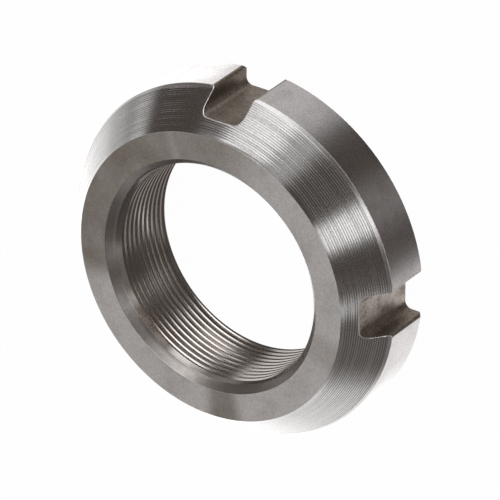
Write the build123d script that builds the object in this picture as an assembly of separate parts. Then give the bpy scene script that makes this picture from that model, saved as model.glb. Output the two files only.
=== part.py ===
from build123d import *
import os
from math import asin, cos, radians, sin, sqrt, tan

# A round lock nut, turned and milled from one piece of steel. Millimetres.
# It lies on its flat back face at z = 0, with the cone and the front face up.
# The thread runs along Z, and its four spanner slots open along +X, +Y, -X and -Y.

# The turned outside
outer_diameter = 75.0
thickness = 19.2
face_diameter = 61.6          # the flat front face, where the cone starts
cone_angle = 38.5             # between the cone's surface and the nut's axis, in degrees
bevel_radial = 0.45           # the narrow bevel between cone and outside
bevel_axial = 0.7
face_rim_radius = 0.15        # left on the rim of the front face
back_chamfer = 0.7

# The threaded bore. The wall stands at the thread's minor diameter.
thread_diameter = 48.0
thread_pitch = 1.5
countersink_allowance = 1.0   # how far a countersink's mouth stands outside the thread
countersink_angle = 45.0      # between the countersink's surface and the axis, in degrees

# The spanner slots
slot_count = 4
slot_width = 9.2
slot_depth = 4.4
slot_corner_radius = 1.5
slot_edge_radius = 0.6        # rounds the walls' edges at the outside

# A 60 degree thread is cut to five eighths of its sharp height.
thread_height = sqrt(3) / 2 * thread_pitch
minor_radius = thread_diameter / 2 - 5 / 8 * thread_height
mouth_radius = thread_diameter / 2 + countersink_allowance
countersink_depth = (mouth_radius - minor_radius) / tan(radians(countersink_angle))

outer_radius = outer_diameter / 2
face_radius = face_diameter / 2
cone_end_radius = outer_radius - bevel_radial
cone_end_height = thickness - (cone_end_radius - face_radius) / tan(radians(cone_angle))
bevel_end_height = cone_end_height - bevel_axial
slot_floor_radius = outer_radius - slot_depth


def half_section():
    """The nut's section on one side of its axis, in the XZ plane."""
    outline = Polyline(
        (minor_radius, countersink_depth),
        (mouth_radius, 0),
        (outer_radius - back_chamfer, 0),
        (outer_radius, back_chamfer),
        (outer_radius, bevel_end_height),
        (cone_end_radius, cone_end_height),
        (face_radius, thickness),
        (mouth_radius, thickness),
        (minor_radius, thickness - countersink_depth),
        close=True,
    )
    section = make_face(Plane.XZ * outline)
    face_rim = section.vertices().sort_by(Axis.Z)[-2:].sort_by(Axis.X)[-1]
    return fillet(face_rim, face_rim_radius)


def turned_blank():
    """The nut before its slots are milled: one turn of the section about the thread's axis."""
    return revolve(half_section(), Axis.Z)


def slot_cutter():
    """What is milled out for the slot that opens along +X, with its outer edges rounded."""
    half_width = slot_width / 2
    rounding_centre_radius = outer_radius - slot_edge_radius
    rounding_centre_y = half_width + slot_edge_radius
    rounding_angle = asin(rounding_centre_y / rounding_centre_radius)
    wall_end = rounding_centre_radius * cos(rounding_angle)
    rim_point = (outer_radius * cos(rounding_angle), outer_radius * sin(rounding_angle))
    upper = (
        Line((slot_floor_radius, 0), (slot_floor_radius, half_width))
        + Line((slot_floor_radius, half_width), (wall_end, half_width))
        + TangentArc((wall_end, half_width), rim_point, tangent=(1, 0))
        + Line(rim_point, (outer_diameter, rim_point[1]))
        + Line((outer_diameter, rim_point[1]), (outer_diameter, 0))
    )
    plan = make_face(upper + mirror(upper, Plane.XZ))
    floor_corners = plan.vertices().sort_by(Axis.X)[:2]
    return extrude(fillet(floor_corners, slot_corner_radius), thickness)


def lock_nut():
    """The finished nut, with its slots spaced evenly round it."""
    nut = turned_blank()
    for place in PolarLocations(0, slot_count):
        nut -= place * slot_cutter()
    return nut


nut = lock_nut()
nut.label = "lock_nut"
os.makedirs("parts", exist_ok=True)
export_step(nut, "parts/lock_nut.step")
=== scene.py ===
"""A round lock nut of turned steel, lying on its back face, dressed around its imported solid.

The outside, the slots and the threaded bore are one closed surface of rings and columns.
The columns follow the nut's outline seen along its axis, and the rings follow the tool marks.
Sizes here are in millimetres until a mesh is made. The frame is in metres, with +Z up.
"""

import logging
import math
from dataclasses import dataclass, field, replace
from enum import Enum

import bpy
import numpy as np
from mathutils import Matrix, Vector


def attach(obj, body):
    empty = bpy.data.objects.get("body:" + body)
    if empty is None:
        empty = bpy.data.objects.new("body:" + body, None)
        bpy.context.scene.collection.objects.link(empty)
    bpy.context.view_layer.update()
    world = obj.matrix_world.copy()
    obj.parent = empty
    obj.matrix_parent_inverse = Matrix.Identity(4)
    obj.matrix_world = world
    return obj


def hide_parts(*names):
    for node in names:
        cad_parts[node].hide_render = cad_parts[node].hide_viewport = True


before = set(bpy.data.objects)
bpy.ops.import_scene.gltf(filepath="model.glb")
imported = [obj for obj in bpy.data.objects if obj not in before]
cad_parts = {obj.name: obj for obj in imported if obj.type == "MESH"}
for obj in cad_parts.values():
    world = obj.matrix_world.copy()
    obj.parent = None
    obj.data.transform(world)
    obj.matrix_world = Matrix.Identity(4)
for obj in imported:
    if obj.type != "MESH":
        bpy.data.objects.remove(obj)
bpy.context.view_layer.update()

MM = 0.001
Nodes = bpy.types.NodeTree
Node = bpy.types.Node
Socket = bpy.types.NodeSocket
log = logging.getLogger("lock_nut")

# The nut's driving sizes, in millimetres and degrees, as the solid has them.
THICKNESS = 19.2
OUTER_RADIUS = 37.5
FACE_RADIUS = 30.8
BEVEL_START = 37.05
CONE_ANGLE = 38.5


class Zone(Enum):
    """The nut's surfaces, each with a finish of its own. The value is its material's place."""

    FACE = 0
    CONE = 1
    BEVEL = 2
    OUTSIDE = 3
    SLOT = 4
    COUNTERSINK = 5
    THREAD = 6
    EDGE = 7
    BACK = 8


Rings = list[tuple[np.ndarray, Zone]]


class Lay(Enum):
    """Which way a surface's fine tool marks run."""

    CIRCLES = "circles about the axis, side by side along the radius"
    HOOPS = "circles about the axis, side by side along the height"
    CUTTER = "straight strokes along the axis, left by the slot cutter"


def linear(hex_colour: str) -> tuple[float, float, float, float]:
    """Turns an sRGB colour into the linear values that a shader takes.

    Args:
        hex_colour: The colour as six hex digits.

    Returns:
        Red, green, blue and an alpha of one.
    """
    parts = [int(hex_colour[k : k + 2], 16) / 255 for k in (0, 2, 4)]
    red, green, blue = (p / 12.92 if p <= 0.04045 else ((p + 0.055) / 1.055) ** 2.4 for p in parts)
    return red, green, blue, 1.0


def add_node(tree: Nodes, kind: str, inputs: dict | tuple | list = (), **settings: object) -> Node:
    """Adds a node to a tree, with its settings and what goes into its sockets.

    Args:
        tree: The tree that gets the node.
        kind: The node's type.
        inputs: What goes in: a row in the sockets' order, or a dict by the socket's name. Each
            is a value, another node's output, or another node, whose first output is taken.
        settings: The node's own properties.

    Returns:
        The new node.
    """
    made = tree.nodes.new(kind)
    for name, value in settings.items():
        setattr(made, name, value)
    named = inputs if isinstance(inputs, dict) else dict(enumerate(inputs))
    for key, value in named.items():
        source = value.outputs[0] if isinstance(value, Node) else value
        if isinstance(source, Socket):
            tree.links.new(source, made.inputs[key])
        else:
            made.inputs[key].default_value = source
    return made


def calculate(tree: Nodes, operation: str, *values: object) -> Node:
    """One step of arithmetic in a tree: the operation's result on up to three values."""
    return add_node(tree, "ShaderNodeMath", values, operation=operation)


def soft_step(tree: Nodes, *values: object) -> Node:
    """A soft step of a value: the value, where the step begins and ends, and what it gives there."""
    return add_node(tree, "ShaderNodeMapRange", values, interpolation_type="SMOOTHSTEP")


def azimuth_at(tree: Nodes, x: Socket, y: Socket) -> Node:
    """The angle about the nut's axis in degrees from +X: the arc tangent of y over x."""
    return calculate(tree, "DEGREES", calculate(tree, "ARCTAN2", y, x))


def emptied(owner: bpy.types.Material | bpy.types.World) -> Nodes:
    """Gives a material or a world a node tree, with no nodes in it yet.

    Args:
        owner: The material or the world.

    Returns:
        Its empty tree.
    """
    owner.use_nodes = True
    owner.node_tree.nodes.clear()
    return owner.node_tree


def add_object(name: str, data: bpy.types.ID) -> bpy.types.Object:
    """Makes an object at the origin, and links it to the scene.

    Args:
        name: The object's name.
        data: The mesh or the camera that it shows.

    Returns:
        The new object.
    """
    made = bpy.data.objects.new(name, data)
    bpy.context.scene.collection.objects.link(made)
    return made


def around(angles: np.ndarray) -> np.ndarray:
    """The plan directions at some angles: cosine and sine, a row for each."""
    return np.stack([np.cos(angles), np.sin(angles)], 1)


@dataclass(frozen=True)
class Sector:
    """A part of the nut's round between two azimuths, with soft ends.

    Attributes:
        first: The azimuth where it begins, in degrees from +X.
        last: The azimuth where it ends, more than the first.
        first_fade: Over how many degrees it grows at its beginning.
        last_fade: Over how many degrees it fades at its end.
        amount: How strong it is between the two.
    """

    first: float
    last: float
    first_fade: float
    last_fade: float
    amount: float

    def strength(self, tree: Nodes, place: Socket) -> Node:
        """Its strength at a point: one soft step up at its beginning, times one down.

        Args:
            tree: The material's tree.
            place: Where the point is, with the nut's axis at the origin.

        Returns:
            The amount inside the sector, and nought outside it.
        """
        x, y, _ = add_node(tree, "ShaderNodeSeparateXYZ", [place]).outputs
        middle = (self.first + self.last) / 2
        half = (self.last - self.first) / 2
        off = calculate(tree, "SUBTRACT", azimuth_at(tree, x, y), middle)
        off = calculate(tree, "WRAP", off, 180.0, -180.0)
        rise = soft_step(tree, off, -half, -half + self.first_fade, 0.0, self.amount)
        fall = soft_step(tree, off, half - self.last_fade, half, 1.0, 0.0)
        return calculate(tree, "MULTIPLY", rise, fall)


@dataclass(frozen=True)
class SteelFinish:
    """Bare machined steel: how one surface was cut, and how it has been handled since.

    Attributes:
        name: The material's name.
        steel: The clean metal's colour.
        smudge: The colour of old oil and fingerprints on it.
        smudge_amount: How much of the smudge's colour shows where it is thickest.
        smudge_mm: The size of one smudge.
        roughness: How dull the clean metal is.
        dulling: What a smudge adds to the roughness.
        lay: Which way the fine tool marks run.
        mark_mm: The spacing of the fine marks.
        mark_depth_mm: How deep the fine marks are.
        grit_mm: The size of the pits between the marks.
        grit_depth_mm: How deep those pits are.
        speck: How far the specks' brightness strays either way from the metal's.
        films: The brown films laid over sectors of it.
        film_mottle: How far a film's thickness varies from patch to patch.
        smudge_spread: The noise where a smudge begins to show, and where it is thickest.
        speck_size: The size of a speck, where one is the size of a pit.
        speck_spread: The noise of the darkest and the brightest speck.
    """

    name: str
    steel: str
    smudge: str
    smudge_amount: float
    smudge_mm: float
    roughness: float
    dulling: float
    lay: Lay
    mark_mm: float
    mark_depth_mm: float
    grit_mm: float
    grit_depth_mm: float
    speck: float
    films: tuple[Sector, ...] = ()
    film_mottle: float = 0.9
    smudge_spread: tuple[float, float] = (0.44, 0.68)
    speck_size: float = 1.25
    speck_spread: tuple[float, float] = (0.3, 0.7)

    def material(self) -> bpy.types.Material:
        """Builds the finish as a node material on Object coordinates.

        Returns:
            The new material.
        """
        made = bpy.data.materials.new(self.name)
        tree = emptied(made)
        place = add_node(tree, "ShaderNodeTexCoord").outputs["Object"]
        smudges = self.smudges(tree, place)
        colours = {"Factor": smudges, "A": linear(self.steel), "B": linear(self.smudge)}
        colour = add_node(tree, "ShaderNodeMix", colours, data_type="RGBA").outputs["Result"]
        specked = {"Value": self.specks(tree, place), "Color": colour}
        steel = {
            "Base Color": add_node(tree, "ShaderNodeHueSaturation", specked),
            "Metallic": 1.0,
            "Roughness": calculate(tree, "MULTIPLY_ADD", smudges, self.dulling, self.roughness),
            "Normal": self.relief(tree, place),
        }
        surface = add_node(tree, "ShaderNodeBsdfPrincipled", steel)
        add_node(tree, "ShaderNodeOutputMaterial", {"Surface": surface})
        return made

    def smudges(self, tree: Nodes, place: Socket) -> Node:
        """Where old oil has dulled the metal: soft patches, broken up by finer mottling, and the films
        over their sectors.

        Args:
            tree: The material's tree.
            place: Where on the nut the point is.

        Returns:
            Nought on clean metal, up to the smudge's amount where it is thickest.
        """
        mottling = {"Vector": place, "Scale": 1 / (self.smudge_mm * MM), "Detail": 4.0, "Roughness": 0.6}
        patches = add_node(tree, "ShaderNodeTexNoise", mottling)
        made = soft_step(tree, patches, *self.smudge_spread, 0.0, self.smudge_amount)
        if self.films:
            least = 1 - self.film_mottle / 2
            mottle = calculate(tree, "MULTIPLY_ADD", patches, self.film_mottle, least)
            for film in self.films:
                laid = calculate(tree, "MULTIPLY", film.strength(tree, place), mottle)
                made = calculate(tree, "MAXIMUM", made, laid)
        return made

    def specks(self, tree: Nodes, place: Socket) -> Node:
        """The brightness of the fine specks, about one: noise of the specks' size, stretched.

        Args:
            tree: The material's tree.
            place: Where on the nut the point is.

        Returns:
            What the metal's brightness is multiplied by.
        """
        scale = 1 / (self.speck_size * self.grit_mm * MM)
        noise = add_node(tree, "ShaderNodeTexNoise", {"Vector": place, "Scale": scale, "Detail": 1.0})
        spread = (noise, *self.speck_spread, 1 - self.speck, 1 + self.speck)
        return add_node(tree, "ShaderNodeMapRange", spread)

    def relief(self, tree: Nodes, place: Socket) -> Node:
        """The fine tool marks and the pits between them, as a bent normal.

        The marks are noise along one line across them: the distance from the axis, the
        height, or x plus y, which changes across each slot's floor and walls.

        Args:
            tree: The material's tree.
            place: Where on the nut the point is.

        Returns:
            The normal with both bumps on it.
        """
        x, y, across = add_node(tree, "ShaderNodeSeparateXYZ", [place]).outputs
        if self.lay is Lay.CIRCLES:
            flat = add_node(tree, "ShaderNodeCombineXYZ", (x, y))
            across = add_node(tree, "ShaderNodeVectorMath", [flat], operation="LENGTH").outputs["Value"]
        elif self.lay is Lay.CUTTER:
            across = calculate(tree, "ADD", x, y)
        strokes = {"W": across, "Scale": 1 / (self.mark_mm * MM), "Detail": 2.0}
        marks = add_node(tree, "ShaderNodeTexNoise", strokes, noise_dimensions="1D")
        grit = {"Vector": place, "Scale": 1 / (self.grit_mm * MM), "Detail": 3.0}
        pits = add_node(tree, "ShaderNodeTexNoise", grit)
        cut = {"Height": marks, "Distance": self.mark_depth_mm * MM, "Strength": 1.0}
        lines = add_node(tree, "ShaderNodeBump", cut)
        bent = {"Height": pits, "Distance": self.grit_depth_mm * MM, "Strength": 1.0, "Normal": lines}
        return add_node(tree, "ShaderNodeBump", bent)


# Marks finer than a tenth of a millimetre are drawn at that, the finest that shows.
# A facing tool's very fine spiral, blurred by handling: the eye sees an even, dull grey.
# Oil dried brown over one side of it.
FACED = SteelFinish(
    name="faced_steel", steel="bcb9b7", smudge="6d6355", smudge_amount=0.16, smudge_mm=6.0,
    roughness=0.42, dulling=0.10, lay=Lay.CIRCLES, mark_mm=0.12, mark_depth_mm=0.003,
    grit_mm=0.25, grit_depth_mm=0.008, speck=0.12,
    films=(
        Sector(58, 115, 32, 10, 0.5),
        Sector(101, 203, 12, 16, 0.64),
        Sector(-94, -72, 8, 8, 0.6),
        Sector(-28, -6, 8, 8, 0.25),
    ),
)
# The back was faced in the same way, and lies clean.
BACK_FACED = replace(FACED, name="faced_steel_back", films=())
# A coarse feed cut the cone. Between its ridges the cut is clean and bright.
FEED_CUT = SteelFinish(
    name="feed_cut_steel", steel="c5c5c5", smudge="938a82", smudge_amount=0.10, smudge_mm=4.0,
    roughness=0.16, dulling=0.05, lay=Lay.CIRCLES, mark_mm=0.10, mark_depth_mm=0.0012,
    grit_mm=0.24, grit_depth_mm=0.0035, speck=0.1,
)
# The narrow bevel was burnished by the flat of the tool, so it flashes.
BURNISHED = SteelFinish(
    name="burnished_steel", steel="dbdbdb", smudge="9a9189", smudge_amount=0.05, smudge_mm=3.0,
    roughness=0.25, dulling=0.05, lay=Lay.CIRCLES, mark_mm=0.10, mark_depth_mm=0.0004,
    grit_mm=0.3, grit_depth_mm=0.004, speck=0.08,
)
# The outside was turned fine, and shows soft bands rather than a mirror's.
FINE_TURNED = SteelFinish(
    name="fine_turned_steel", steel="bcbaba", smudge="7a7068", smudge_amount=0.22, smudge_mm=5.0,
    roughness=0.26, dulling=0.08, lay=Lay.HOOPS, mark_mm=0.14, mark_depth_mm=0.002,
    grit_mm=0.26, grit_depth_mm=0.008, speck=0.12,
)
# The slots keep the cutter's rough strokes and brown smudges. A dark brown film covers the slot about
# azimuth 90, and one side of the slot about azimuth 0.
MILLED = SteelFinish(
    name="milled_steel", steel="bcb3ac", smudge="584c34", smudge_amount=0.45, smudge_mm=2.5,
    roughness=0.46, dulling=0.15, lay=Lay.CUTTER, mark_mm=0.25, mark_depth_mm=0.010,
    grit_mm=0.3, grit_depth_mm=0.018, speck=0.25,
    films=(Sector(60, 125, 10, 10, 0.56), Sector(-14, -4.6, 3, 2, 0.6)),
)
# The countersinks were cut by hand feed after the thread, and stay a little dull.
COUNTERSUNK = SteelFinish(
    name="countersunk_steel", steel="b8b4b1", smudge="6a6058", smudge_amount=0.2, smudge_mm=4.0,
    roughness=0.31, dulling=0.10, lay=Lay.CIRCLES, mark_mm=0.16, mark_depth_mm=0.003,
    grit_mm=0.2, grit_depth_mm=0.006, speck=0.12,
    films=(Sector(40, 96, 14, 8, 0.7),),
)
# The thread's flanks are cut clean, and stay bare.
TAPPED = SteelFinish(
    name="tapped_steel", steel="c4beb9", smudge="54483e", smudge_amount=0.0, smudge_mm=3.0,
    roughness=0.18, dulling=0.08, lay=Lay.HOOPS, mark_mm=0.12, mark_depth_mm=0.0004,
    grit_mm=0.15, grit_depth_mm=0.001, speck=0.08,
)
# Every edge was broken with a file: a line of bare, bright metal, nicked here and there.
BROKEN_EDGE = SteelFinish(
    name="broken_edge_steel", steel="f2f1f0", smudge="9a9189", smudge_amount=0.1, smudge_mm=3.0,
    roughness=0.32, dulling=0.08, lay=Lay.CIRCLES, mark_mm=0.10, mark_depth_mm=0.001,
    grit_mm=0.6, grit_depth_mm=0.03, speck=0.1,
)
FINISHES = {
    Zone.FACE: FACED,
    Zone.CONE: FEED_CUT,
    Zone.BEVEL: BURNISHED,
    Zone.OUTSIDE: FINE_TURNED,
    Zone.SLOT: MILLED,
    Zone.COUNTERSINK: COUNTERSUNK,
    Zone.THREAD: TAPPED,
    Zone.EDGE: BROKEN_EDGE,
    Zone.BACK: BACK_FACED,
}


@dataclass
class PlanOutline:
    """The nut's outline seen along its axis: the outside's circle with its slots milled in.

    Attributes:
        outer_radius: The outside's radius.
        slot_floor_radius: How far a slot's flat floor stands from the axis.
        slot_half_width: Half the distance between a slot's walls.
        corner_radius: The rounding between floor and wall.
        edge_radius: The rounding between wall and outside.
        fan_radius: Where the straight columns that end on the outline begin.
        fan_degrees: A column's angle on the fan's circle where it ends on the floor's middle,
            and at the far ends of the floor, the corner, the wall and the outer edge.
        slot_count: How many slots there are.
        floor_steps: How many columns end on half a floor.
        corner_steps: How many end on a corner.
        wall_steps: How many end on a wall.
        edge_steps: How many end on an outer edge.
        arc_steps: How many end on the outside, up to halfway to the next slot.
        points: Where each column ends, in plan.
        inward: The plan direction into the metal there.
        angles: Each column's angle on the fan's circle.
        milled: Whether a column ends on a slot's surface.
    """

    outer_radius: float = OUTER_RADIUS
    slot_floor_radius: float = 33.1
    slot_half_width: float = 4.6
    corner_radius: float = 1.5
    edge_radius: float = 0.6
    fan_radius: float = FACE_RADIUS
    fan_degrees: tuple[float, ...] = (0.0, 5.2, 9.2, 10.6, 11.8)
    slot_count: int = 4
    floor_steps: int = 4
    corner_steps: int = 6
    wall_steps: int = 3
    edge_steps: int = 6
    arc_steps: int = 25
    points: np.ndarray = field(init=False)
    inward: np.ndarray = field(init=False)
    angles: np.ndarray = field(init=False)
    milled: np.ndarray = field(init=False)

    def __post_init__(self) -> None:
        """Lays the half slot out once, mirrors it, and turns it round the nut."""
        half = self.half_slot()
        mirrored = half[:0:-1] * np.array([1, -1, 1, -1, -1, 1])
        sector = np.concatenate([mirrored[1:], half])
        turns = np.arange(self.slot_count) * 2 * math.pi / self.slot_count
        self.points = np.concatenate([self.turned(sector[:, 0:2], a) for a in turns])
        self.inward = np.concatenate([self.turned(sector[:, 2:4], a) for a in turns])
        self.angles = np.concatenate([sector[:, 4] + a for a in turns])
        self.milled = np.tile(sector[:, 5] > 0, self.slot_count)

    @staticmethod
    def turned(vectors: np.ndarray, angle: float) -> np.ndarray:
        """Plan vectors turned about the axis: the usual rotation, cosine and sine of the angle."""
        c, s = math.cos(angle), math.sin(angle)
        return vectors @ np.array([[c, s], [-s, c]])

    def half_slot(self) -> np.ndarray:
        """Half of the slot that opens along +X, and the arc up to halfway to the next one.

        The floor is a straight line, each corner is part of a circle about its own centre, and
        the wall is a straight line. A column's angle on the fan's circle runs ahead of its
        point's, so that the straight column meets the wall from the metal's side.

        Returns:
            A row per column: the point, the direction into the metal, the column's angle on
            the fan's circle, and one where the slot's milled surface is.
        """
        floor, half = self.slot_floor_radius, self.slot_half_width
        corner, edge = self.corner_radius, self.edge_radius
        rim_angle = math.asin((half + edge) / (self.outer_radius - edge))
        wall_end = (self.outer_radius - edge) * math.cos(rim_angle)

        y = np.linspace(0, half - corner, self.floor_steps)
        flat = np.stack([np.full_like(y, floor), y, -np.ones_like(y), 0 * y], 1)
        away = around(np.linspace(math.pi, math.pi / 2, self.corner_steps + 1)[1:])
        inner = np.concatenate([(floor + corner, half - corner) + corner * away, away], 1)
        x = np.linspace(floor + corner, wall_end, self.wall_steps + 1)[1:]
        wall = np.stack([x, np.full_like(x, half), 0 * x, np.ones_like(x)], 1)
        away = around(np.linspace(-math.pi / 2, rim_angle, self.edge_steps + 1)[1:])
        outer = np.concatenate([(wall_end, half + edge) + edge * away, -away], 1)
        away = around(np.linspace(rim_angle, math.pi / self.slot_count, self.arc_steps + 1)[1:])
        arc = np.concatenate([self.outer_radius * away, -away], 1)

        parts = [flat, inner, wall, outer, arc]
        rows = np.concatenate(parts)
        ends = np.cumsum([len(part) for part in parts]) - 1
        fan = [*np.radians(self.fan_degrees), math.pi / self.slot_count]
        angle = np.interp(np.arange(len(rows)), [0, *ends], fan)
        milled = np.arange(len(rows)) <= ends[3]
        return np.column_stack([rows, angle, milled])


@dataclass
class ConeGrooves:
    """The ridged track that a coarse, even feed leaves on the cone.

    Attributes:
        start_radius: Where the first groove begins, at the front face's rim.
        end_radius: Where the last groove ends, at the bevel.
        feed: How far the tool moved along the cone in one turn.
        cone_angle: Between the cone's surface and the axis, in degrees.
        first_ridge: How far past the start the first ridge stands.
        last_share: The least share of a groove between the last free ridge and the end.
        depth: How deep a groove is below its ridges, before it varies.
        unevenness: The share by which one groove's depth may differ.
        rings_per_groove: How many rings of the mesh draw one groove.
        seed: Starts the small irregularities of depth.
    """

    start_radius: float = 30.95
    end_radius: float = BEVEL_START
    feed: float = 0.481
    cone_angle: float = CONE_ANGLE
    first_ridge: float = 0.21
    last_share: float = 0.4
    depth: float = 0.0239
    unevenness: float = 0.15
    rings_per_groove: int = 5
    seed: int = 11

    def radii_and_depths(self) -> tuple[np.ndarray, np.ndarray]:
        """Where the mesh's rings run on the cone, and how far each lies below the true cone.

        A groove is the track of a round-nosed tool: its depth falls from nought at each ridge
        by one minus the square of the place across the groove, taken from minus one to one.

        Returns:
            The rings' radii, growing outwards, and the depth at each.
        """
        rng = np.random.default_rng(self.seed)
        step = self.feed * math.sin(math.radians(self.cone_angle))
        first = self.start_radius + self.first_ridge
        ridges = np.arange(first, self.end_radius - self.last_share * step, step)
        ridges = np.concatenate([ridges, [self.end_radius]])
        depths = self.depth * (1 + self.unevenness * rng.uniform(-1, 1, len(ridges) - 1))
        across = np.arange(self.rings_per_groove) / self.rings_per_groove
        radii = ridges[:-1, None] + across * np.diff(ridges)[:, None]
        sunk = depths[:, None] * (1 - (2 * across - 1) ** 2)
        radii = np.concatenate([[self.start_radius], radii.ravel(), [self.end_radius]])
        return radii, np.pad(sunk.ravel(), 1)


@dataclass
class NutThread:
    """The right-hand thread cut in the bore, with the countersinks at its two ends.

    The front countersink has two facets: a wide one at 45 degrees from the face down, and a
    steep one that leads on to the thread. No groove breaks through the steep one. The back
    countersink is plain, and the grooves run out just above it.

    Attributes:
        minor_radius: The radius at the thread's crest.
        pitch: How far one turn climbs.
        crest_flat: How high the flat on a crest is.
        root_flat: How high the flat at the bottom of a groove is.
        flank_angle: Between a flank and the plane across the axis, in degrees.
        crest_height: The height of one crest's middle at angle nought.
        crest_break: How far the crests' corners are broken.
        spare_turns: How many turns are laid past each end, where they are held level.
        thickness: The nut's height.
        mouth_radius: The radius of the front countersink's mouth.
        facet_depth: How far below the face the 45 degree facet ends.
        steep_angle: Between the steep facet and the axis, in degrees.
        clear_depth: Where the thread's own rings begin, just past the facets' corner.
        first_groove_depth: Grooves whose middle is less deep than this are left out.
        groove_fade: Over how much more depth a groove grows to its full depth.
        back_mouth_radius: The radius of the back countersink's mouth.
        back_clear_depth: How high above the back the thread's rings end.
        back_fade: Over how much height above that the grooves run out.
    """

    minor_radius: float = 23.1881
    pitch: float = 1.5
    crest_flat: float = 0.61
    root_flat: float = 0.19
    flank_angle: float = 30.0
    crest_height: float = 0.65
    crest_break: float = 0.02
    spare_turns: int = 2
    thickness: float = THICKNESS
    mouth_radius: float = 25.0
    facet_depth: float = 1.46
    steep_angle: float = 12.5
    clear_depth: float = 1.54
    first_groove_depth: float = 2.45
    groove_fade: float = 0.35
    back_mouth_radius: float = 24.7
    back_clear_depth: float = 1.45
    back_fade: float = 0.25

    def profile(self) -> tuple[np.ndarray, np.ndarray]:
        """One turn's rings: how far each lies above the crest's middle, and how deep it is cut.

        Crest and root are flats, and two straight flanks join them, so the depth is what is
        left of the pitch, halved and divided by the flank angle's tangent. The crest's
        corners are broken at half the flank's slope.

        Returns:
            The rings' heights over one pitch, growing, and how far each is outside the crest.
        """
        crest, root = self.crest_flat / 2, self.root_flat / 2
        middle = self.pitch / 2
        slope = 1 / math.tan(math.radians(self.flank_angle))
        depth = (middle - crest - root) * slope
        b = self.crest_break
        halfway = (crest + middle - root) / 2
        last = self.pitch - crest - b / 2
        heights = [-crest + b, crest - b, crest + b / 2, halfway, middle - root, middle + root]
        heights += [self.pitch - halfway, last]
        broken = b / 2 * slope
        cut = [0, 0, broken, depth / 2, depth, depth, depth / 2, broken]
        return np.array(heights), np.array(cut)

    def rings(self, angles: np.ndarray) -> tuple[np.ndarray, np.ndarray]:
        """The thread's rings at every column, each climbing one pitch in a turn.

        A ring's height is its place in the profile, plus the pitch times the column's share
        of a turn. Beyond the two clear depths a ring is held level, inside the countersink.
        Grooves grow with the depth of their middle below the front face, and end at the back.
        The radius is the crest's plus the cut, or the countersink's where that is more.

        Args:
            angles: The columns' angles, growing from the first through less than a turn.

        Returns:
            Heights and radii, a row per ring from the back up and a column per angle.
        """
        heights, cut = self.profile()
        turns = np.arange(-self.spare_turns, math.ceil(self.thickness / self.pitch) + self.spare_turns)
        start = (turns[:, None] * self.pitch + self.crest_height).repeat(len(heights), 1)
        climb = self.pitch * angles[None] / (2 * math.pi)
        z = (start + heights).ravel()[:, None] + climb
        middle = start.ravel()[:, None] + self.pitch / 2 + climb
        share = np.clip((self.thickness - middle - self.first_groove_depth) / self.groove_fade, 0, 1)
        share = np.minimum(share, np.clip((z - self.back_clear_depth) / self.back_fade, 0, 1))
        z = np.clip(z, self.back_clear_depth, self.thickness - self.clear_depth)
        radius = self.minor_radius + share * np.tile(cut, len(turns))[:, None]
        return z, np.maximum(radius, self.countersink(z))

    def countersink(self, z: np.ndarray) -> np.ndarray:
        """The countersinks' radius at a height: the largest of their three facets'.

        The front's first facet shrinks by as much as the depth grows. The second goes on from
        the first at the facet depth, and shrinks by the depth times the steep angle's tangent.
        The back's one facet shrinks by as much as the height grows.

        Args:
            z: Heights above the back face.

        Returns:
            The radii there.
        """
        depth = self.thickness - z
        steep = math.tan(math.radians(self.steep_angle))
        inner = self.mouth_radius - self.facet_depth - (depth - self.facet_depth) * steep
        front = np.maximum(self.mouth_radius - depth, inner)
        return np.maximum(front, self.back_mouth_radius - z)


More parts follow.
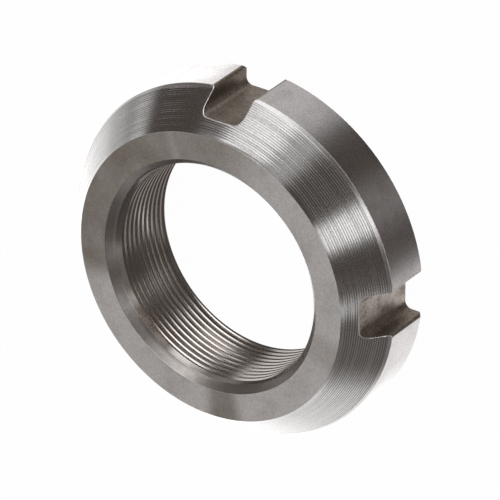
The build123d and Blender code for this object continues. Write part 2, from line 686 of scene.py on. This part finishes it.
@dataclass
class LockNut:
    """The whole nut: its section, its outline, its tool marks and its thread.

    Attributes:
        thickness: The nut's height.
        face_radius: The front face's rim.
        face_rounding: The rounding on that rim.
        cone_angle: Between the cone's surface and the axis, in degrees.
        bevel_start: Where the cone ends and the narrow bevel begins, as a radius.
        bevel_end_height: Where the bevel meets the outside.
        back_chamfer: The chamfer round the back.
        edge_break: How far the edges along the slots are broken.
        rim_break: How far the round edges are broken.
        face_rings_at: The radii of the face's rings inside its rim.
        rim_steps: How many strips round the face's rim.
        bevel_steps: How many strips make the bevel.
        side_steps: How many strips make the side.
        back_rings_at: The radii of the rings on the back's chamfer and face, along the columns.
        back_circles_at: The radii of the back's innermost circles.
        sink_rings_at: How deep the rings inside a countersink's 45 degree facet lie.
        sink_gap: How far before that facet's end its last ring lies.
        outline: The outline in plan.
        grooves: The tool's track on the cone.
        thread: The thread and the countersinks.
    """

    thickness: float = THICKNESS
    face_radius: float = FACE_RADIUS
    face_rounding: float = 0.05
    cone_angle: float = CONE_ANGLE
    bevel_start: float = BEVEL_START
    bevel_end_height: float = 10.6429
    back_chamfer: float = 0.7
    edge_break: float = 0.12
    rim_break: float = 0.05
    face_rings_at: tuple[float, ...] = (26.5, 28.5, 30.2)
    rim_steps: int = 3
    bevel_steps: int = 3
    side_steps: int = 5
    back_rings_at: tuple[float, ...] = (37.4, 36.8, 35.0, 33.0, 31.0)
    back_circles_at: tuple[float, ...] = (29.0, 27.0)
    sink_rings_at: tuple[float, ...] = (0.5, 1.0)
    sink_gap: float = 0.06
    outline: PlanOutline = field(default_factory=PlanOutline)
    grooves: ConeGrooves = field(default_factory=ConeGrooves)
    thread: NutThread = field(default_factory=NutThread)

    def top_height(self, radius: np.ndarray) -> np.ndarray:
        """The height of the smooth top at a radius: face, cone, then bevel.

        Args:
            radius: Distances from the axis.

        Returns:
            The heights there.
        """
        slope = 1 / math.tan(math.radians(self.cone_angle))
        cone_end = self.thickness - (self.bevel_start - self.face_radius) * slope
        cone = self.thickness - (radius - self.face_radius) * slope
        bevel_width = self.outline.outer_radius - self.bevel_start
        bevel_slope = (cone_end - self.bevel_end_height) / bevel_width
        bevel = cone_end - (radius - self.bevel_start) * bevel_slope
        return np.minimum(self.thickness, np.where(radius > self.bevel_start, bevel, cone))

    def bottom_height(self, radius: np.ndarray) -> np.ndarray:
        """The height of the back at a radius: nought, rising as the chamfer at 45 degrees."""
        return np.maximum(0.0, radius - (self.outline.outer_radius - self.back_chamfer))

    def columns_at(self, radii: np.ndarray, ends: np.ndarray) -> np.ndarray:
        """Where each straight column crosses each radius, held at the column's end.

        A column runs from the fan's circle to its end. It crosses a radius where the squared
        length of start plus share times run equals the radius squared, a quadratic equation.

        Args:
            radii: The radii, none less than the fan's.
            ends: The columns' end points.

        Returns:
            Points, by radius and column.
        """
        start = self.outline.fan_radius * around(self.outline.angles)
        run = ends - start
        a = (run**2).sum(1)
        b = (start * run).sum(1)
        c = self.outline.fan_radius**2 - radii[:, None] ** 2
        share = (-b + np.sqrt(np.maximum(b**2 - a * c, 0))) / a
        return start + np.clip(share, 0, 1)[..., None] * run

    def circle(self, radius: float, height: float) -> np.ndarray:
        """A ring of points on a circle about the axis, one per column."""
        flat = radius * around(self.outline.angles)
        return np.column_stack([flat, np.full(len(flat), height)])

    def broken(self) -> np.ndarray:
        """How far each column's outer edges are broken: more along a slot than on the outside."""
        return np.where(self.outline.milled, self.edge_break, self.rim_break)

    def edge_plan(self) -> np.ndarray:
        """Where the broken edges begin in plan: the outline, moved into the metal."""
        return self.outline.points + self.broken()[:, None] * self.outline.inward

    def face_rings(self) -> Rings:
        """The front face, from the countersink's mouth out to the start of its rounded rim."""
        radii = [self.thread.mouth_radius + self.rim_break, *self.face_rings_at]
        return [(self.circle(r, self.thickness), Zone.FACE) for r in radii]

    def cone_rings(self) -> Rings:
        """The rounded rim, the grooved cone and the bevel, out to the broken edge.

        The rim is part of a circle that the face and the cone touch. A ring on the cone lies
        below the smooth top by its groove's depth over the sine of the cone's angle.

        Returns:
            Rings from the face outwards, each with the zone of the strip that follows it.
        """
        tilt = math.radians(90 - self.cone_angle)
        centre = self.face_radius - self.face_rounding * math.tan(tilt / 2)
        bends = np.linspace(0, tilt, self.rim_steps + 1)[:-1]
        rim_r = centre + self.face_rounding * np.sin(bends)
        rim_z = self.thickness - self.face_rounding * (1 - np.cos(bends))
        rings = [(self.circle(r, z), Zone.CONE) for r, z in zip(rim_r, rim_z)]

        grooved, depth = self.grooves.radii_and_depths()
        bevelled = np.linspace(self.bevel_start, self.outline.outer_radius, self.bevel_steps + 1)[1:]
        plan = self.columns_at(np.concatenate([grooved, bevelled]), self.edge_plan())
        reached = np.linalg.norm(plan, axis=-1)
        sunk = np.interp(reached, grooved, depth) / math.sin(math.radians(self.cone_angle))
        top = np.concatenate([plan, (self.top_height(reached) - sunk)[..., None]], -1)
        zones = [Zone.CONE] * (len(grooved) - 1) + [Zone.BEVEL] * len(bevelled) + [Zone.EDGE]
        return rings + list(zip(top, zones))

    def side_rings(self) -> Rings:
        """The outside and the slots' walls and floors, from the top edge down to the back's.

        Returns:
            Rings from the top down, each with the zone of the strip that follows it.
        """
        plan = self.outline.points
        radius = np.linalg.norm(plan, axis=1)
        top = self.top_height(radius) - self.broken()
        bottom = self.bottom_height(radius) + self.broken()
        shares = np.linspace(0, 1, self.side_steps + 1)
        rings = [np.column_stack([plan, top + (bottom - top) * s]) for s in shares]
        return list(zip(rings, [Zone.OUTSIDE] * self.side_steps + [Zone.EDGE]))

    def back_rings(self) -> Rings:
        """The back: its chamfer, then the flat face in to the countersink's mouth.

        Returns:
            Rings from the edge inwards, each with the zone of the strip that follows it.
        """
        plan = self.columns_at(np.array(self.back_rings_at), self.edge_plan())
        height = self.bottom_height(np.linalg.norm(plan, axis=-1))
        rings = list(np.concatenate([plan, height[..., None]], -1))
        rings += [self.circle(r, 0.0) for r in self.back_circles_at]
        rings.append(self.circle(self.thread.back_mouth_radius + self.rim_break, 0.0))
        return list(zip(rings, [Zone.BACK] * (len(rings) - 1) + [Zone.EDGE]))

    def bore_rings(self) -> Rings:
        """The bore, from the back countersink's mouth up through the thread to the front's.

        Returns:
            Rings from the back up, each with the zone of the strip that follows it.
        """
        angles = self.outline.angles
        z, r = self.thread.rings(angles)
        thread = np.stack([r * np.cos(angles), r * np.sin(angles), z], -1)
        depths = [self.rim_break, *self.sink_rings_at, self.thread.facet_depth - self.sink_gap]
        back = [self.circle(self.thread.back_mouth_radius - d, d) for d in depths]
        front = [self.circle(self.thread.mouth_radius - d, self.thickness - d) for d in depths[::-1]]
        zones = [Zone.COUNTERSINK] * (len(back) - 1) + [Zone.THREAD] * len(thread)
        zones += [Zone.COUNTERSINK] * (len(front) + 1)
        return list(zip([*back, *thread, *front], zones))

    def build(self) -> bpy.types.Object:
        """Joins all the rings into one closed surface, smooth within each zone.

        The rings run from the front face outwards, down the side, inwards over the back and up
        the bore, and the last meets the first.

        Returns:
            The nut, in the frame's place, with its finishes.
        """
        rings = self.face_rings() + self.cone_rings() + self.side_rings()
        rings += self.back_rings() + self.bore_rings()
        surface = RingSurface(rings, self.outline.milled, len(self.thread.profile()[0]))
        made = surface.mesh_object("turned_nut")
        for zone in Zone:
            made.data.materials.append(FINISHES[zone].material())
        return made


@dataclass
class RingSurface:
    """A closed surface made of rings of points, each with as many points as there are columns.

    Attributes:
        rings: The rings, each with the zone of the strip between it and the next.
        milled: Which columns stand on a slot's milled surface.
        turn: How many rings the thread climbs in one turn.
        weld_mm: The grid on which points that fall together are made one.
        crease_deg: The bend past which an edge inside a zone is sharp.
    """

    rings: Rings
    milled: np.ndarray
    turn: int
    weld_mm: float = 2e-4
    crease_deg: float = 18.0

    def faces(self) -> tuple[np.ndarray, np.ndarray, np.ndarray]:
        """All the surface's points, its four-sided faces and their zones.

        A face joins two columns next to each other and two rings next to each other. From
        the last column to the first, a thread's ring joins the ring one turn further up,
        because it has climbed one pitch there, and none joins past the thread's last ring.

        Returns:
            The points, the faces as four point numbers each, and a zone number per face.
        """
        count = len(self.milled)
        points = np.stack([ring for ring, _ in self.rings])
        zones = np.array([zone.value for _, zone in self.rings])
        level = np.arange(len(points))
        threaded = np.flatnonzero(zones == Zone.THREAD.value) + 1
        seam = level.copy()
        seam[threaded] = np.minimum(threaded + self.turn, threaded[-1])
        here = level[:, None] * count + np.arange(count)
        across = np.roll(here, -1, 1)
        across[:, -1] = seam * count
        ahead = np.roll(level, -1)
        quads = np.stack([here, here[ahead], across[ahead], across], -1)
        between = self.milled & np.roll(self.milled, -1)
        slotted = (zones == Zone.OUTSIDE.value)[:, None] & between
        zone = np.where(slotted, Zone.SLOT.value, zones[:, None])
        return points.reshape(-1, 3), quads.reshape(-1, 4), zone.ravel()

    def mesh_object(self, name: str) -> bpy.types.Object:
        """Makes the surface a mesh object, with its doubled points welded.

        Args:
            name: The object's name.

        Returns:
            The object, linked to the scene, in metres.
        """
        points, quads, zone = self.faces()
        keys = np.round(points / self.weld_mm).astype(np.int64)
        _, kept, merged = np.unique(keys, axis=0, return_index=True, return_inverse=True)
        quads = merged.reshape(-1)[quads]
        steps = quads != np.roll(quads, -1, 1)
        sides = steps.sum(1)
        solid = sides >= 3
        solid &= ~((quads[:, 0] == quads[:, 2]) | (quads[:, 1] == quads[:, 3]))
        quads, steps, sides, zone = quads[solid], steps[solid], sides[solid], zone[solid]
        mesh = bpy.data.meshes.new(name)
        mesh.vertices.add(len(kept))
        mesh.vertices.foreach_set("co", (points[kept] * MM).astype(np.float32).ravel())
        loops = quads[steps]
        mesh.loops.add(len(loops))
        mesh.loops.foreach_set("vertex_index", loops.astype(np.int32))
        mesh.polygons.add(len(sides))
        starts = np.concatenate([[0], np.cumsum(sides)[:-1]])
        mesh.polygons.foreach_set("loop_start", starts.astype(np.int32))
        mesh.polygons.foreach_set("material_index", zone.astype(np.int32))
        mesh.update(calc_edges=True)
        mesh.validate()
        mesh.shade_smooth()
        mesh.set_sharp_from_angle(angle=math.radians(self.crease_deg))
        self.sharpen_borders(mesh)
        return add_object(name, mesh)

    @staticmethod
    def sharpen_borders(mesh: bpy.types.Mesh) -> None:
        """Marks as sharp each edge whose lowest and highest zone on its two sides differ.

        Args:
            mesh: The mesh, with its zones as the faces' material numbers.
        """
        edge = np.empty(len(mesh.loops), np.int32)
        mesh.loops.foreach_get("edge_index", edge)
        zone = np.empty(len(mesh.polygons), np.int32)
        mesh.polygons.foreach_get("material_index", zone)
        sides = np.empty(len(mesh.polygons), np.int32)
        mesh.polygons.foreach_get("loop_total", sides)
        zone = zone.repeat(sides)
        lowest = np.full(len(mesh.edges), zone.max())
        highest = np.zeros(len(mesh.edges), np.int64)
        np.minimum.at(lowest, edge, zone)
        np.maximum.at(highest, edge, zone)
        sharp = np.empty(len(mesh.edges), bool)
        mesh.edges.foreach_get("use_edge_sharp", sharp)
        mesh.edges.foreach_set("use_edge_sharp", sharp | (lowest != highest))


def seen_directly(tree: Nodes) -> Socket:
    """One for a ray from the camera, and nought for any other."""
    return add_node(tree, "ShaderNodeLightPath").outputs["Is Camera Ray"]


def seen_in_metal(tree: Nodes) -> Node:
    """One for a ray that a glossy surface mirrors or glass passes on, and nought for any other."""
    path = add_node(tree, "ShaderNodeLightPath").outputs
    return calculate(tree, "ADD", path["Is Glossy Ray"], path["Is Transmission Ray"])


@dataclass(frozen=True)
class Patch:
    """A patch of the surroundings, as the nut sees it between the dark flags.

    Attributes:
        azimuth: The direction of its middle about the nut's axis, in degrees from +X.
        elevation: The height of its middle above the floor's plane, in degrees.
        half_width: Half its width in degrees of azimuth.
        half_height: Half its height in degrees of elevation.
        softness: Over how many degrees its border fades, each way.
        opening: How much of the white background shows there, from nought to one.
        lamp: The brightness that a softbox adds there, where one is white paper.
    """

    azimuth: float
    elevation: float
    half_width: float
    half_height: float
    softness: float
    opening: float
    lamp: float = 0.0

    def inside(self, tree: Nodes, azimuth: Node, elevation: Node) -> Node:
        """One inside the patch and nought outside it.

        It is the product of two soft steps: one in how far the azimuth lies from the middle
        the shorter way round, and one in how far the elevation does.

        Args:
            tree: The world's tree.
            azimuth: The direction's azimuth in degrees.
            elevation: The direction's elevation in degrees.

        Returns:
            The product.
        """
        aside = calculate(tree, "SUBTRACT", azimuth, self.azimuth)
        aside = calculate(tree, "PINGPONG", aside, 180.0)
        above = calculate(tree, "SUBTRACT", elevation, self.elevation)
        above = calculate(tree, "ABSOLUTE", above)
        steps = [
            soft_step(tree, off, half + self.softness, max(half - self.softness, 0.0), 0.0, 1.0)
            for off, half in ((aside, self.half_width), (above, self.half_height))
        ]
        return calculate(tree, "MULTIPLY", *steps)


@dataclass(frozen=True)
class Cover:
    """A part of the shade card that hides what lies below it.

    Attributes:
        sector: Where round the bore it lies, and how much it hides.
        clear_mm: The radius where it hides nothing.
        full_mm: The larger radius from where it hides in full.
    """

    sector: Sector
    clear_mm: float
    full_mm: float

    def strength(self, tree: Nodes, place: Socket, radius: Socket) -> Node:
        """How much it hides at a point: a soft step outwards, times the sector's strength."""
        reach = soft_step(tree, radius, self.clear_mm * MM, self.full_mm * MM, 0.0, 1.0)
        return calculate(tree, "MULTIPLY", reach, self.sector.strength(tree, place))


@dataclass
class ShadeCard:
    """A dark, partly see-through ring under the bore, that only the metal sees.

    It is the nut's own shade on the table, which the crests and the steep facets mirror.

    Attributes:
        inner_mm: Its inner radius.
        outer_mm: Its outer radius.
        height_mm: How far above the floor it lies.
        corners: How many straight lines draw its rims.
        tint: Its colour.
        brightness: How bright it is, where one is white paper.
        light: Where light leaks in under the bore, and what that adds to its brightness.
        rim_cover: Its outer part, through which nothing shows.
        inner_cover: Its inner part, which dims what shows through.
    """

    inner_mm: float = 5.0
    outer_mm: float = 24.9
    height_mm: float = 0.05
    corners: int = 48
    tint: str = "fdf8f5"
    brightness: float = 0.08
    light: Sector = Sector(85, 205, 22, 12, 0.26)
    rim_cover: Cover = Cover(Sector(118, 302, 10, 10, 1.0), 17.8, 19.3)
    inner_cover: Cover = Cover(Sector(192, 246, 14, 14, 0.8), 5.0, 10.0)

    def build(self) -> bpy.types.Object:
        """Lays the ring: a point on each rim for each corner, at even angles.

        Returns:
            The card, linked to the scene.
        """
        here = np.arange(self.corners)
        ahead = np.roll(here, -1)
        away = around(2 * math.pi * here / self.corners)
        plan = np.concatenate([self.inner_mm * away, self.outer_mm * away])
        points = np.column_stack([plan, np.full(len(plan), self.height_mm)]) * MM
        quads = np.stack([here, here + self.corners, ahead + self.corners, ahead], 1)
        mesh = bpy.data.meshes.new("shade_card")
        mesh.from_pydata(points.tolist(), [], quads.tolist())
        mesh.materials.append(self.material())
        card = add_object("shade_card", mesh)
        for kind in ("camera", "diffuse", "shadow", "transmission"):
            setattr(card, "visible_" + kind, False)
        return card

    def material(self) -> bpy.types.Material:
        """The card's dim light, and nothing where neither cover hides what lies below.

        Returns:
            The new material.
        """
        made = bpy.data.materials.new("dark_card")
        tree = emptied(made)
        place = add_node(tree, "ShaderNodeTexCoord").outputs["Object"]
        bright = calculate(tree, "ADD", self.light.strength(tree, place), self.brightness)
        glow = add_node(tree, "ShaderNodeEmission", {"Color": linear(self.tint), "Strength": bright})
        radius = add_node(tree, "ShaderNodeVectorMath", [place], operation="LENGTH").outputs["Value"]
        covers = [cover.strength(tree, place, radius) for cover in (self.rim_cover, self.inner_cover)]
        solid = calculate(tree, "MAXIMUM", *covers)
        clear = add_node(tree, "ShaderNodeBsdfTransparent")
        mixed = add_node(tree, "ShaderNodeMixShader", (solid, clear, glow))
        add_node(tree, "ShaderNodeOutputMaterial", {"Surface": mixed})
        return made


@dataclass
class Studio:
    """The surroundings: a white background behind dark flags, softboxes, a floor and a camera.

    Attributes:
        room: The brightness of the flags.
        room_tint: The colour of that dim light.
        patches: Where the flags leave the white background open, and where softboxes stand.
        card: The nut's shade under its bore.
        floor_half_m: Half the floor's width.
        paper: The floor's colour.
        paper_glow: How much of the floor is plain white to the eye, and not lit paper.
        camera_place_m: Where the camera stands.
        camera_right: The direction of the photograph's right side.
        camera_back: The direction from the nut towards the camera.
        focal_mm: The lens.
        sensor_mm: The sensor's width.
    """

    room: float = 0.1
    room_tint: str = "ffeade"
    patches: tuple[Patch, ...] = (
        Patch(22.5, 21.5, 9, 10, 2.5, 1.0, 0.15),
        Patch(22.5, 14, 9, 4, 3, 0.0, 1.0),
        Patch(20, 44, 9, 8, 4, 1.0),
        Patch(44, 48, 14, 6, 8, 0.2),
        Patch(68, 49, 8, 7, 4, 0.2),
        Patch(22, -50, 14, 20, 6, 0.22),
        Patch(99.5, 51.5, 14.5, 24.5, 3.5, 1.0, 0.4),
        Patch(98, 9, 16, 11, 3, 1.0, 0.4),
        Patch(74, 34, 8, 34, 5, 0.42),
        Patch(88, 51, 8, 11, 4, 0.0, 0.55),
        Patch(120, 16, 9, 8, 5, 0.25),
        Patch(-24, 24, 5, 16, 4, 0.62),
        Patch(-10, 24, 6, 8, 6, 0.08),
        Patch(-50, 7, 20, 10, 8, 0.12),
        Patch(168, -19.5, 5, 26.5, 3, 0.6),
        Patch(-176, -21, 9, 26, 5, 0.55),
        Patch(-119.5, -50, 50, 41, 7, 1.0),
        Patch(-92, -4, 24, 10, 12, 0.85),
        Patch(-134, -41, 24, 50, 16, 0.0, 0.6),
        Patch(-95, -57, 30, 17, 7, 0.0, 0.3),
        Patch(-48, -57, 22, 20, 6, 1.0, 0.2),
        Patch(166, -58, 18, 20, 6, 1.0, 0.5),
        Patch(-174, -58, 28, 20, 8, 0.0, 0.6),
        Patch(108, -50, 28, 14, 10, 0.74),
        Patch(134, -50, 8, 14, 5, 0.22),
        Patch(-25, -50, 8, 30, 6, 0.1),
        Patch(55, -11, 100, 3, 3, 0.9),
        Patch(102, 65, 32, 10, 3, 1.0, 1.1),
        Patch(166, 36, 15, 9, 3, 1.0),
        Patch(150, 72, 18, 9, 3, 1.0, 1.4),
        Patch(-150, 76, 60, 7, 5, 0.8),
        Patch(93, -24, 17, 10, 5, 1.0, 0.7),
        Patch(64, -17, 6, 8, 4, 0.45),
        Patch(22, -19, 6, 9, 3, 0.65),
        Patch(-6, -21, 22, 8, 6, 0.15),
        Patch(38, -19, 10, 8, 5, 0.06),
        Patch(-135, 50, 42, 18, 12, 0.0, 0.84),
    )
    card: ShadeCard = field(default_factory=ShadeCard)
    floor_half_m: float = 1.5
    paper: str = "fafafa"
    paper_glow: float = 0.985
    camera_place_m: tuple[float, float, float] = (0.7284056, 0.7162054, 1.0648999)
    camera_right: tuple[float, float, float] = (0.8225053, 0.0048779, -0.5687366)
    camera_back: tuple[float, float, float] = (0.4948736, 0.4867266, 0.7198593)
    focal_mm: float = 541.1416
    sensor_mm: float = 36.0

    def build(self) -> None:
        """Sets up the camera and the world, and lays the floor and the shade card."""
        self.add_camera()
        self.light_world()
        self.lay_floor()
        self.card.build()

    def add_camera(self) -> None:
        """Places the camera by its three axes, which the photograph's rims gave."""
        right = Vector(self.camera_right).normalized()
        back = Vector(self.camera_back).normalized()
        up = back.cross(right).normalized()
        data = bpy.data.cameras.new("photo_camera")
        data.sensor_width = self.sensor_mm
        data.lens = self.focal_mm
        camera = add_object("photo_camera", data)
        turn = Matrix((up.cross(back), up, back)).transposed().to_4x4()
        camera.matrix_world = Matrix.Translation(self.camera_place_m) @ turn
        bpy.context.scene.camera = camera

    def light_world(self) -> None:
        """Makes the surroundings: a white background, dim flags in front of it, and softboxes.

        The camera sees the white background everywhere, and the metal sees it wherever the
        flags leave it open, which is the patches' openings added up and held at one. The
        flags and the softboxes are there for every ray but the camera's.
        """
        world = bpy.data.worlds.new("studio")
        tree = emptied(world)
        direction = add_node(tree, "ShaderNodeTexCoord").outputs["Generated"]
        x, y, z = add_node(tree, "ShaderNodeSeparateXYZ", [direction]).outputs
        azimuth = azimuth_at(tree, x, y)
        elevation = calculate(tree, "DEGREES", calculate(tree, "ARCSINE", z))
        opened: object = 0.0
        lamps: object = 0.0
        for patch in self.patches:
            inside = patch.inside(tree, azimuth, elevation)
            opened = calculate(tree, "MULTIPLY_ADD", inside, patch.opening, opened)
            lamps = calculate(tree, "MULTIPLY_ADD", inside, patch.lamp, lamps)
        direct = seen_directly(tree)
        hidden = calculate(tree, "SUBTRACT", 1.0, direct)
        opened = calculate(tree, "MINIMUM", opened, 1.0)
        flags = calculate(tree, "MULTIPLY", hidden, self.room)
        boxes = calculate(tree, "MULTIPLY", hidden, lamps)
        shown = calculate(tree, "MULTIPLY_ADD", seen_in_metal(tree), opened, direct)
        layers = [
            add_node(tree, "ShaderNodeBackground", {"Color": linear(tint), "Strength": strength})
            for tint, strength in ((self.room_tint, flags), ("ffffff", boxes), ("ffffff", shown))
        ]
        total = add_node(tree, "ShaderNodeAddShader", layers[:2])
        total = add_node(tree, "ShaderNodeAddShader", (total, layers[2]))
        add_node(tree, "ShaderNodeOutputWorld", {"Surface": total})
        bpy.context.scene.world = world

    def lay_floor(self) -> None:
        """Lays the pale floor in the plane of the nut's back face."""
        h = self.floor_half_m
        mesh = bpy.data.meshes.new("floor")
        mesh.from_pydata([(-h, -h, 0), (h, -h, 0), (h, h, 0), (-h, h, 0)], [], [(0, 1, 2, 3)])
        floor = add_object("floor", mesh)
        mesh.materials.append(self.white_paper())
        floor.visible_glossy = False

    def white_paper(self) -> bpy.types.Material:
        """White paper: lit paper keeps the nut's soft shadow, and the camera sees it as white.

        Returns:
            The new material.
        """
        made = bpy.data.materials.new("white_paper")
        tree = emptied(made)
        sheet = add_node(tree, "ShaderNodeBsdfDiffuse", {"Color": linear(self.paper)})
        glow = add_node(tree, "ShaderNodeEmission", {"Color": linear("ffffff"), "Strength": 1.0})
        seen = calculate(tree, "ADD", seen_directly(tree), seen_in_metal(tree))
        share = calculate(tree, "MULTIPLY", seen, self.paper_glow)
        mixed = add_node(tree, "ShaderNodeMixShader", (share, sheet, glow))
        add_node(tree, "ShaderNodeOutputMaterial", {"Surface": mixed})
        return made


def main() -> None:
    """Builds the studio and the nut, and reports each piece."""
    logging.basicConfig(level=logging.INFO, format="%(name)s: %(message)s")
    bpy.context.scene.view_settings.view_transform = "Standard"
    Studio().build()
    nut = LockNut().build()
    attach(nut, "root")
    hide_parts("lock_nut")
    triangles = sum(len(p.vertices) - 2 for p in nut.data.polygons)
    log.info("%s: %d points, %d triangles", nut.name, len(nut.data.vertices), triangles)


if __name__ == "__main__":
    main()
